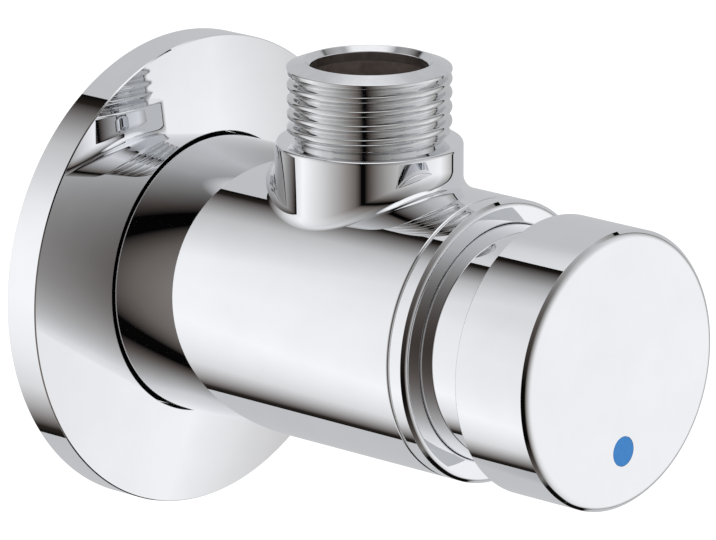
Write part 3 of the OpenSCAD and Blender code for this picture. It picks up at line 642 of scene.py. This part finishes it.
def build_body():
    """Body with its bores, inlet and outlet, as one casting"""
    shell = Shell()
    # Outer cylinder with the boss, and the faces behind and before it
    back_face = [
        (INLET_RELIEF_R, BODY_BACK_D),
        (BODY_R - BODY_BACK_CHAMFER, BODY_BACK_D, BODY_BACK_EDGE),
        (BODY_R, BODY_BACK_D + BODY_BACK_CHAMFER, BODY_BACK_EDGE),
        (BODY_R, WINDOW_BACK_D),
    ]
    shell.turned(VALVE, outline(back_face), turn)
    foot = FOOT * ball(ring)
    hole = hole_in_barrel(BODY_R, foot[:, 0], ORBIT * np.sin(ring))
    holed_barrel(shell, BODY_R, False, hole, WINDOW_BACK_D, WINDOW_FRONT_D, BODY_STRIPS)
    front_face = [
        (BODY_R, WINDOW_FRONT_D),
        (BODY_R, BODY_FRONT_D, GROOVE_HALF),
        (FRONT_BORE_R, BODY_FRONT_D),
    ]
    shell.turned(VALVE, outline(front_face), turn)
    shell.coat = BORED
    front_bores = [
        (FRONT_BORE_R, BODY_FRONT_D),
        (FRONT_BORE_R, SHOULDER_D),
        (REAR_BORE_R, SHOULDER_D),
        (REAR_BORE_R, CHANNEL_FRONT_D),
        (CHANNEL_R, CHANNEL_FRONT_D),
    ]
    shell.turned(VALVE, outline(front_bores), turn)
    # Ring channel with the port on top
    port_x, port_y = PORT_R * np.cos(ring), PORT_R * np.sin(ring)
    hole = hole_in_barrel(CHANNEL_R, port_x, port_y)
    holed_barrel(shell, CHANNEL_R, True, hole, CHANNEL_BACK_D, CHANNEL_FRONT_D, CHANNEL_STRIPS)
    rear_bores = [
        (CHANNEL_R, CHANNEL_BACK_D),
        (REAR_BORE_R, CHANNEL_BACK_D),
        (REAR_BORE_R, REAR_BORE_D),
        (INLET_NECK_R, REAR_BORE_D),
        (INLET_NECK_R, INLET_NECK_D),
        (INLET_BORE_R, INLET_NECK_D),
        (INLET_BORE_R, INLET_BACK_D, INLET_EDGE),
        (INLET_RELIEF_R, INLET_BACK_D),
    ]
    shell.turned(VALVE, outline(rear_bores), turn)
    inlet = Axis((0, 0, 0), (0, 1, 0), VALVE.first, VALVE.second)
    shell.coat = CUT
    cut_thread(shell, inlet, turn, -BODY_BACK_D, -INLET_BACK_D, inlet_thread_r)
    # Outlet: blend, boss, thread, lip, bore and port
    shell.coat = POLISHED
    boss_blend(shell)
    boss_rows = np.stack([ball(ring)[:, 2], np.full(len(ring), BOSS_Z - BOSS_ROUND)])
    spread = np.broadcast_to(ring, boss_rows.shape)
    shell.patch(OUTLET.point(np.full(boss_rows.shape, BOSS_R), boss_rows, spread), OUTLET.around(spread))
    top = [(BOSS_R, BOSS_Z - BOSS_ROUND), (BOSS_R, BOSS_Z, BOSS_ROUND), (OUTLET_RELIEF_R, BOSS_Z)]
    shell.turned(OUTLET, outline(top), ring)
    shell.coat = CUT
    cut_thread(shell, OUTLET, ring, BOSS_Z, LIP_BAND_Z, outlet_thread_r)
    band = [(THREAD_CREST_R, LIP_BAND_Z), (THREAD_CREST_R, LIP_EDGE_Z - LIP_EDGE_HALF)]
    shell.turned(OUTLET, outline(band), ring)
    shell.coat = FACED
    lip = [
        (THREAD_CREST_R, LIP_EDGE_Z - LIP_EDGE_HALF),
        (THREAD_CREST_R, LIP_EDGE_Z + LIP_EDGE_HALF, LIP_EDGE_ROUND),
        (LIP_PEAK_R, LIP_PEAK_Z, LIP_PEAK_ROUND),
        (OUTLET_BORE_R, LIP_PEAK_Z - LIP_CHAMFER, LIP_CHAMFER_ROUND),
        (OUTLET_BORE_R, LIP_PEAK_Z - LIP_FACED_DEPTH),
    ]
    shell.turned(OUTLET, outline(lip), ring)
    shell.coat = BORED
    bore = [
        (OUTLET_BORE_R, LIP_PEAK_Z - LIP_FACED_DEPTH),
        (OUTLET_BORE_R, OUTLET_BORE_Z),
        (PORT_R, OUTLET_BORE_Z),
    ]
    shell.turned(OUTLET, outline(bore), ring)
    port_rows = np.stack([np.full(len(ring), OUTLET_BORE_Z), np.sqrt(CHANNEL_R**2 - port_x**2)])
    spread = np.broadcast_to(ring, port_rows.shape)
    shell.patch(OUTLET.point(np.full(port_rows.shape, PORT_R), port_rows, spread), -OUTLET.around(spread))
    return shell.make("body_casting", BODY_FINISHES, "valve", "chrome", "valve_body")


def build_plate():
    """Wall plate: a shallow dome, drawn as one wide rounding between the tangents at bore and rim"""
    curve_r = (PLATE_R**2 + PLATE_RISE**2) / (2 * PLATE_RISE)
    top_d = PLATE_RIM_D + PLATE_RISE

    def dome(radius, below=0.0):
        """Height of the face off the wall, or of the sheet's back where it lies below the face"""
        return top_d - curve_r + math.sqrt((curve_r - below) ** 2 - radius**2)

    def slope(radius):
        """How steeply the face falls there"""
        return -math.tan(math.asin(radius / curve_r))

    edge_r = PLATE_R - PLATE_CHAMFER_R
    inner, outer = slope(PLATE_MOUTH_R), slope(edge_r)
    meet = (dome(edge_r) - dome(PLATE_MOUTH_R) + inner * PLATE_MOUTH_R - outer * edge_r) / (inner - outer)
    meet_d = dome(PLATE_MOUTH_R) + inner * (meet - PLATE_MOUTH_R)
    inside_r = PLATE_R - PLATE_WALL
    # A little tighter than the sphere, which leaves room for the edges at mouth and rim
    dome_round = 0.95 * curve_r
    section = [
        (PLATE_BORE_R, PLATE_HUB_D, PLATE_HUB_EDGE),
        (PLATE_HUB_R, PLATE_HUB_D, PLATE_HUB_EDGE),
        (PLATE_HUB_R, dome(PLATE_HUB_R, PLATE_WALL), PLATE_HUB_ROOT),
        (inside_r, dome(inside_r, PLATE_WALL), PLATE_RIM_ROOT),
        (inside_r, 0, PLATE_FOOT_EDGE),
        (PLATE_R, 0, PLATE_FOOT_EDGE),
        (PLATE_R, dome(edge_r) - PLATE_CHAMFER_D, PLATE_CHAMFER_EDGE),
        (edge_r, dome(edge_r), PLATE_CHAMFER_EDGE),
        (meet, meet_d, dome_round),
        (PLATE_MOUTH_R, dome(PLATE_MOUTH_R), PLATE_MOUTH_EDGE),
        (PLATE_MOUTH_R, PLATE_RING_D + PLATE_RING_HALF),
        (PLATE_RING_R, PLATE_RING_D + PLATE_RING_HALF),
        (PLATE_RING_R, PLATE_RING_D - PLATE_RING_HALF),
        (PLATE_BORE_R, PLATE_RING_D - PLATE_RING_HALF),
    ]
    shell = Shell()
    shell.turned(VALVE, outline(section, closed=True), turn)
    return shell.make("wall_plate_shell", (chrome_plate,), "wall_plate", "chrome", "escutcheon")


def build_collar():
    """Collar with the spigot that screws into the body and the groove of the wiper"""
    section = [
        (COLLAR_BORE_R, SPIGOT_BACK_D, SPIGOT_BORE_EDGE),
        (SPIGOT_R, SPIGOT_BACK_D, SPIGOT_EDGE),
        (SPIGOT_R, BODY_FRONT_D),
        (BODY_R, BODY_FRONT_D, GROOVE_HALF),
        (BODY_R, COLLAR_FRONT_D - COLLAR_CHAMFER_D, COLLAR_CHAMFER_EDGE),
        (BODY_R - COLLAR_CHAMFER_R, COLLAR_FRONT_D, COLLAR_FACE_EDGE),
        (COLLAR_BORE_R, COLLAR_FRONT_D, COLLAR_MOUTH_EDGE),
        (COLLAR_BORE_R, WIPER_D + WIPER_HALF),
        (WIPER_GROOVE_R, WIPER_D + WIPER_HALF),
        (WIPER_GROOVE_R, WIPER_D - WIPER_HALF),
        (COLLAR_BORE_R, WIPER_D - WIPER_HALF),
    ]
    shell = Shell()
    shell.turned(VALVE, outline(section, closed=True), turn)
    return shell.make("collar_ring", (chrome_plate,), "valve", "chrome", "collar")


def build_sleeve():
    """Neck of the button. The slot that runs on the guide pin is cut into its bore, at the bottom"""
    section = [
        (SLEEVE_BORE_R, PIN_SLOT_FRONT_D),
        (SLEEVE_BORE_R, WEB_BACK_D),
        (WEB_BORE_R, WEB_BACK_D),
        (WEB_BORE_R, WEB_FRONT_D),
        (SLEEVE_BORE_R, WEB_FRONT_D),
        (SLEEVE_BORE_R, SLEEVE_FRONT_D, SLEEVE_BORE_EDGE),
        (SLEEVE_R, SLEEVE_FRONT_D, SLEEVE_EDGE),
        (SLEEVE_R, SLEEVE_BACK_D),
    ]
    shell = Shell()
    shell.turned(VALVE, outline(section[::-1]), turn)
    aside = PIN_ORBIT * np.sin(turn)
    inside = np.sqrt(np.maximum(PIN_SLOT_R**2 - aside**2, 0))
    slot_r = np.where(np.cos(turn) < 0, -PIN_ORBIT * np.cos(turn) + inside, 0)
    slot_r = np.where(np.abs(aside) < PIN_SLOT_R, np.maximum(slot_r, SLEEVE_BORE_R), SLEEVE_BORE_R)
    spread = np.stack([turn, turn])
    radii = np.stack([slot_r, slot_r])
    depths = np.stack([np.full(len(turn), SLEEVE_BACK_D), np.full(len(turn), PIN_SLOT_FRONT_D)])
    shell.patch(VALVE.point(radii, depths, spread), -VALVE.around(spread))
    # The sleeve's back face and the slot's front end both look towards the wall
    for depth, inner, outer in (
        (SLEEVE_BACK_D, slot_r, np.full(len(turn), SLEEVE_R)),
        (PIN_SLOT_FRONT_D, np.full(len(turn), SLEEVE_BORE_R), slot_r),
    ):
        radii = np.stack([inner, outer])
        shell.patch(VALVE.point(radii, np.full(radii.shape, depth), spread), -VALVE.along)
    return shell.make("neck_sleeve", (chrome_plate,), "button", "chrome", "button_sleeve")


def build_head():
    """Head of the button, hollow behind, with a shallow round seat in its face for the mark"""
    section = [
        (0, HEAD_CAVITY_D),
        (HEAD_CAVITY_R, HEAD_CAVITY_D, HEAD_CAVITY_ROOT),
        (HEAD_CAVITY_R, HEAD_BACK_D, HEAD_CAVITY_EDGE),
        (HEAD_R, HEAD_BACK_D, HEAD_BACK_EDGE),
        (HEAD_R, HEAD_FRONT_D - HEAD_CHAMFER_D, HEAD_CHAMFER_EDGE),
        (HEAD_R - HEAD_CHAMFER_R, HEAD_FRONT_D, HEAD_FACE_EDGE),
        (HEAD_R - HEAD_EDGE, HEAD_FRONT_D),
    ]
    shell = Shell()
    shell.turned(VALVE, outline(section), turn)
    # The face runs from the rim's rounding to the seat of the mark
    rim = VALVE.point(np.full(len(turn), HEAD_R - HEAD_EDGE), np.full(len(turn), HEAD_FRONT_D), turn)
    way = np.arctan2(rim[:, 2] - DOT_Z, rim[:, 0] - DOT_X)
    seat_edge = DOT.point(np.full(len(way), DOT_SEAT_R), np.full(len(way), HEAD_FRONT_D), way)
    share = np.linspace(0, 1, FACE_ROWS)[:, None, None]
    shell.patch(rim * (1 - share) + seat_edge * share, VALVE.along)
    seat = [
        (DOT_SEAT_R, HEAD_FRONT_D),
        (DOT_SEAT_R, HEAD_FRONT_D - DOT_DEPTH),
        (0, HEAD_FRONT_D - DOT_DEPTH),
    ]
    shell.turned(DOT, outline(seat), way)
    return shell.make("button_head", (chrome_plate,), "button", "chrome", "button_cap")


def build_dot():
    """Round enamel mark, level with the face"""
    section = [
        (0, HEAD_FRONT_D - DOT_DEPTH),
        (DOT_R, HEAD_FRONT_D - DOT_DEPTH),
        (DOT_R, HEAD_FRONT_D, DOT_EDGE),
        (0, HEAD_FRONT_D),
    ]
    shell = Shell()
    shell.turned(DOT, outline(section, closed=True), np.linspace(0, 2 * math.pi, DOT_STEPS + 1))
    return shell.make("cold_mark", (blue_enamel,), "button", "blue_mark", "indicator_dot")


def build_spring():
    """Return spring: the frame's own wire, sewn up"""
    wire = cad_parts["return_spring"]
    joined = bmesh.new()
    joined.from_mesh(wire.data)
    joined.transform(wire.matrix_world)
    bmesh.ops.remove_doubles(joined, verts=joined.verts, dist=SEW * MM)
    mesh = bpy.data.meshes.new("closing_spring")
    joined.to_mesh(mesh)
    joined.free()
    mesh.materials.append(stainless_steel)
    spring = bpy.data.objects.new("closing_spring", mesh)
    bpy.context.scene.collection.objects.link(spring)
    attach(spring, "valve")
    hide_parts("return_spring")
    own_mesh(spring)


build_body()
build_plate()
build_collar()
build_sleeve()
build_head()
build_dot()
build_spring()

# Camera: the photograph's viewing angle, found from its ellipses. The focal length is in pixels of
# a picture 716 wide
FOCAL_PIXELS = 7000
PICTURE_PIXELS = 716
SENSOR_MM = 36
CAMERA_TOWARDS = Vector((-0.7072, -0.6566, 0.2621))
CAMERA_TARGET = Vector((0, -32.09, 4.824)) * MM
CAMERA_DISTANCE = 885.98 * MM
camera_data = bpy.data.cameras.new("camera")
camera_data.sensor_width = SENSOR_MM
camera_data.lens = FOCAL_PIXELS / PICTURE_PIXELS * SENSOR_MM
camera_data.clip_start = 0.1
camera_data.clip_end = 50
camera = bpy.data.objects.new("camera", camera_data)
camera.location = CAMERA_TARGET + CAMERA_TOWARDS.normalized() * CAMERA_DISTANCE
camera.rotation_mode = "QUATERNION"
camera.rotation_quaternion = (-CAMERA_TOWARDS).to_track_quat("-Z", "Y")
bpy.context.scene.collection.objects.link(camera)
bpy.context.scene.camera = camera
bpy.context.scene.view_settings.view_transform = "Standard"


# Studio tent. Angles are degrees: around it from +X towards +Y, and up from level. Each list below
# gives shades or shares at such angles
TENT_R = 400.0
TENT_STEP = 3
TENT_STRENGTH = 1.13
ROOM_GREY = "#bcbdbf"
DARK_CLOTH = "#0c0a09"
SLIT_DARK = "#070606"
# Two boxes stand side by side. Each is brightest off its middle and falls off to the dark cloth at
# its rims, and between them is the slit that the picture is taken through
BOX_COLOURS = [
    (91.8, ROOM_GREY),
    (91.9, DARK_CLOTH),
    (97.0, "#2a2522"),
    (103.0, "#7f7b79"),
    (118.0, "#d7d7d8"),
    (135.0, "#f5f5f7"),
    (164.0, "#cecece"),
    (196.0, "#8a8582"),
    (206.0, "#6b645f"),
    (213.2, SLIT_DARK),
    (217.4, SLIT_DARK),
    (224.0, "#544d49"),
    (244.0, "#9c9a98"),
    (282.0, "#dededf"),
    (318.0, "#f0f0f2"),
    (341.5, "#b0aeac"),
    (342.5, DARK_CLOTH),
    (346.0, DARK_CLOTH),
    (346.1, ROOM_GREY),
]
LEFT_BOX_TOP = 65.0
# Share of each box's light that is left towards its bottom and top
LEFT_FALL = [(-75, 0.5), (-50, 1), (4, 1), (20, 0.93), (32, 0.8), (46, 0.72), (64, 0.28)]
RIGHT_FALL = [(-75, 0.6), (-64, 0.85), (-40, 1), (-5, 1), (20, 0.78)]
RIGHT_FALL += [(34, 0.66), (56, 0.58), (66, 0.44), (90, 0.5)]
# The slit widens towards its two ends, which pushes the boxes aside most where they are next to it,
# and all upright edges lean a little
SLIT_AT = 215.3
SLIT_WIDENING = 2.0
SLIT_WIDENS_UP = (8, 60)
SLIT_WIDENS_ASIDE = (10, 70)
EDGE_LEAN = 0.03
# The ceiling above the wall is brighter than the room
CEILING = [(50, 0), (60, 1)]
CEILING_LIGHT = "#e9eaeb"
# A round box hangs straight above
OVERHEAD = [(66, 0), (72, 1)]
OVERHEAD_LIGHT = "#f6f6f7"
# It is dark below the valve, and the dark reaches higher in the room than under the boxes
ROOM_UNDER = [(-60, 1), (-56, 0)]
BOX_UNDER = [(-74, 1), (-69, 0)]


def build_tent():
    """Studio tent that only reflections see: two tall soft boxes in a flat grey room. Its colours
    are kept at the points of its mesh"""
    angles, codes = zip(*BOX_COLOURS)
    shades = np.array([colour(code) for code in codes])
    around = np.union1d(np.arange(0, 361, TENT_STEP), angles)
    up = np.union1d(np.arange(-90, 91, TENT_STEP), [LEFT_BOX_TOP, LEFT_BOX_TOP + 0.1])
    light = np.stack([np.interp(around, angles, shades[:, k]) for k in range(4)], -1)
    in_room = ((around <= angles[0]) | (around >= angles[-1]))[None, :, None]
    on_left = (around < SLIT_AT)[None, :, None]
    falls = (LEFT_FALL, RIGHT_FALL, CEILING, OVERHEAD, ROOM_UNDER, BOX_UNDER)
    shares = [np.interp(up, *zip(*fall))[:, None, None] for fall in falls]
    left, right, ceiling, overhead, room_under, box_under = shares
    room = colour(ROOM_GREY) * (1 - ceiling) + colour(CEILING_LIGHT) * ceiling
    light = np.where(on_left, left, right) * light
    above = on_left & (up > LEFT_BOX_TOP)[:, None, None]
    light = np.where(in_room, room, np.where(above, colour(ROOM_GREY), light))
    light = light * (1 - overhead) + colour(OVERHEAD_LIGHT) * overhead
    under = np.where(in_room, room_under, box_under)
    light = light * (1 - under) + colour(DARK_CLOTH) * under
    aside = around - SLIT_AT
    height = up[:, None]
    near_slit = 1 - smooth(*SLIT_WIDENS_ASIDE, np.abs(aside))
    wider = SLIT_WIDENING * smooth(*SLIT_WIDENS_UP, np.abs(height)) * near_slit
    swing = np.radians(around + np.sign(aside) * wider - EDGE_LEAN * height)
    tilt = np.radians(np.broadcast_to(height, swing.shape))
    points = np.stack([np.cos(tilt) * np.cos(swing), np.cos(tilt) * np.sin(swing), np.sin(tilt)], -1)
    index = np.arange(swing.size).reshape(swing.shape)
    faces = np.stack([index[:-1, :-1], index[:-1, 1:], index[1:, 1:], index[1:, :-1]], -1)
    mesh = bpy.data.meshes.new("studio_tent")
    mesh.from_pydata(points.reshape(-1, 3) * TENT_R * MM, [], faces.reshape(-1, 4).tolist())
    layer = mesh.color_attributes.new("light", "FLOAT_COLOR", "POINT")
    layer.data.foreach_set("color", light.reshape(-1))
    tent = bpy.data.objects.new("studio_tent", mesh)
    tent.location = (0, -OUTLET_D * MM, 0)
    bpy.context.scene.collection.objects.link(tent)
    tent.visible_camera = False
    tent.visible_diffuse = False
    tent.visible_shadow = False
    made = bpy.data.materials.new("tent_cloth")
    made.use_nodes = True
    tree = made.node_tree
    tree.nodes.clear()
    cloth = node(tree, "ShaderNodeVertexColor", layer_name="light")
    glow = node(tree, "ShaderNodeEmission", {"Color": cloth.outputs["Color"], "Strength": TENT_STRENGTH})
    out = node(tree, "ShaderNodeOutputMaterial")
    tree.links.new(glow.outputs[0], out.inputs["Surface"])
    mesh.materials.append(made)


# Strength of the plain light that falls on what isn't metal
PLAIN_LIGHT = 0.85


def build_world():
    """White to the camera and to reflections, and a plain level of light for what isn't metal"""
    world = bpy.data.worlds.new("white_room")
    bpy.context.scene.world = world
    world.use_nodes = True
    tree = world.node_tree
    tree.nodes.clear()
    path = node(tree, "ShaderNodeLightPath").outputs
    both = {0: path["Is Camera Ray"], 1: path["Is Glossy Ray"]}
    seen = node(tree, "ShaderNodeMath", both, operation="ADD").outputs[0]
    both = {0: seen, 1: path["Is Transmission Ray"]}
    seen = node(tree, "ShaderNodeMath", both, operation="ADD", use_clamp=True).outputs[0]
    white = node(tree, "ShaderNodeBackground", {"Color": colour("#ffffff"), "Strength": 1.0})
    plain = node(tree, "ShaderNodeBackground", {"Color": colour("#ffffff"), "Strength": PLAIN_LIGHT})
    mix = node(tree, "ShaderNodeMixShader", {0: seen, 1: plain.outputs[0], 2: white.outputs[0]})
    out = node(tree, "ShaderNodeOutputWorld")
    tree.links.new(mix.outputs[0], out.inputs["Surface"])


# The floor in metres, and the share of light that its paper gives off by itself
FLOOR_R = 6.0
FLOOR_Z = -1.0
FLOOR_STEPS = 96
FLOOR_GLOW = 0.35


def build_floor():
    """Pale round floor far below the valve"""
    angles = [2 * math.pi * i / FLOOR_STEPS for i in range(FLOOR_STEPS)]
    points = [(FLOOR_R * math.cos(angle), FLOOR_R * math.sin(angle), FLOOR_Z) for angle in angles]
    mesh = bpy.data.meshes.new("pale_floor")
    mesh.from_pydata(points, [], [tuple(range(FLOOR_STEPS))])
    floor = bpy.data.objects.new("pale_floor", mesh)
    bpy.context.scene.collection.objects.link(floor)
    floor.visible_glossy = False
    made = bpy.data.materials.new("white_paper")
    made.use_nodes = True
    tree = made.node_tree
    tree.nodes.clear()
    matt = node(tree, "ShaderNodeBsdfDiffuse", {"Color": colour("#f6f6f6")})
    glow = node(tree, "ShaderNodeEmission", {"Color": colour("#ffffff"), "Strength": FLOOR_GLOW})
    both = node(tree, "ShaderNodeAddShader", {0: matt.outputs[0], 1: glow.outputs[0]})
    out = node(tree, "ShaderNodeOutputMaterial")
    tree.links.new(both.outputs[0], out.inputs["Surface"])
    mesh.materials.append(made)


# The lamp in metres and watts
LAMP_SIZE = 1.2
LAMP_POWER = 6
LAMP_AT = (-0.6, -0.9, 1.5)


def build_lamp():
    """One wide soft lamp overhead, kept out of the chrome, gives what isn't metal a little shape"""
    data = bpy.data.lights.new("soft_lamp", "AREA")
    data.shape = "DISK"
    data.size = LAMP_SIZE
    data.energy = LAMP_POWER
    lamp = bpy.data.objects.new("soft_lamp", data)
    lamp.location = LAMP_AT
    lamp.rotation_mode = "QUATERNION"
    lamp.rotation_quaternion = Vector(LAMP_AT).to_track_quat("Z", "Y")
    lamp.visible_glossy = False
    lamp.visible_camera = False
    bpy.context.scene.collection.objects.link(lamp)


build_tent()
build_world()
build_floor()
build_lamp()
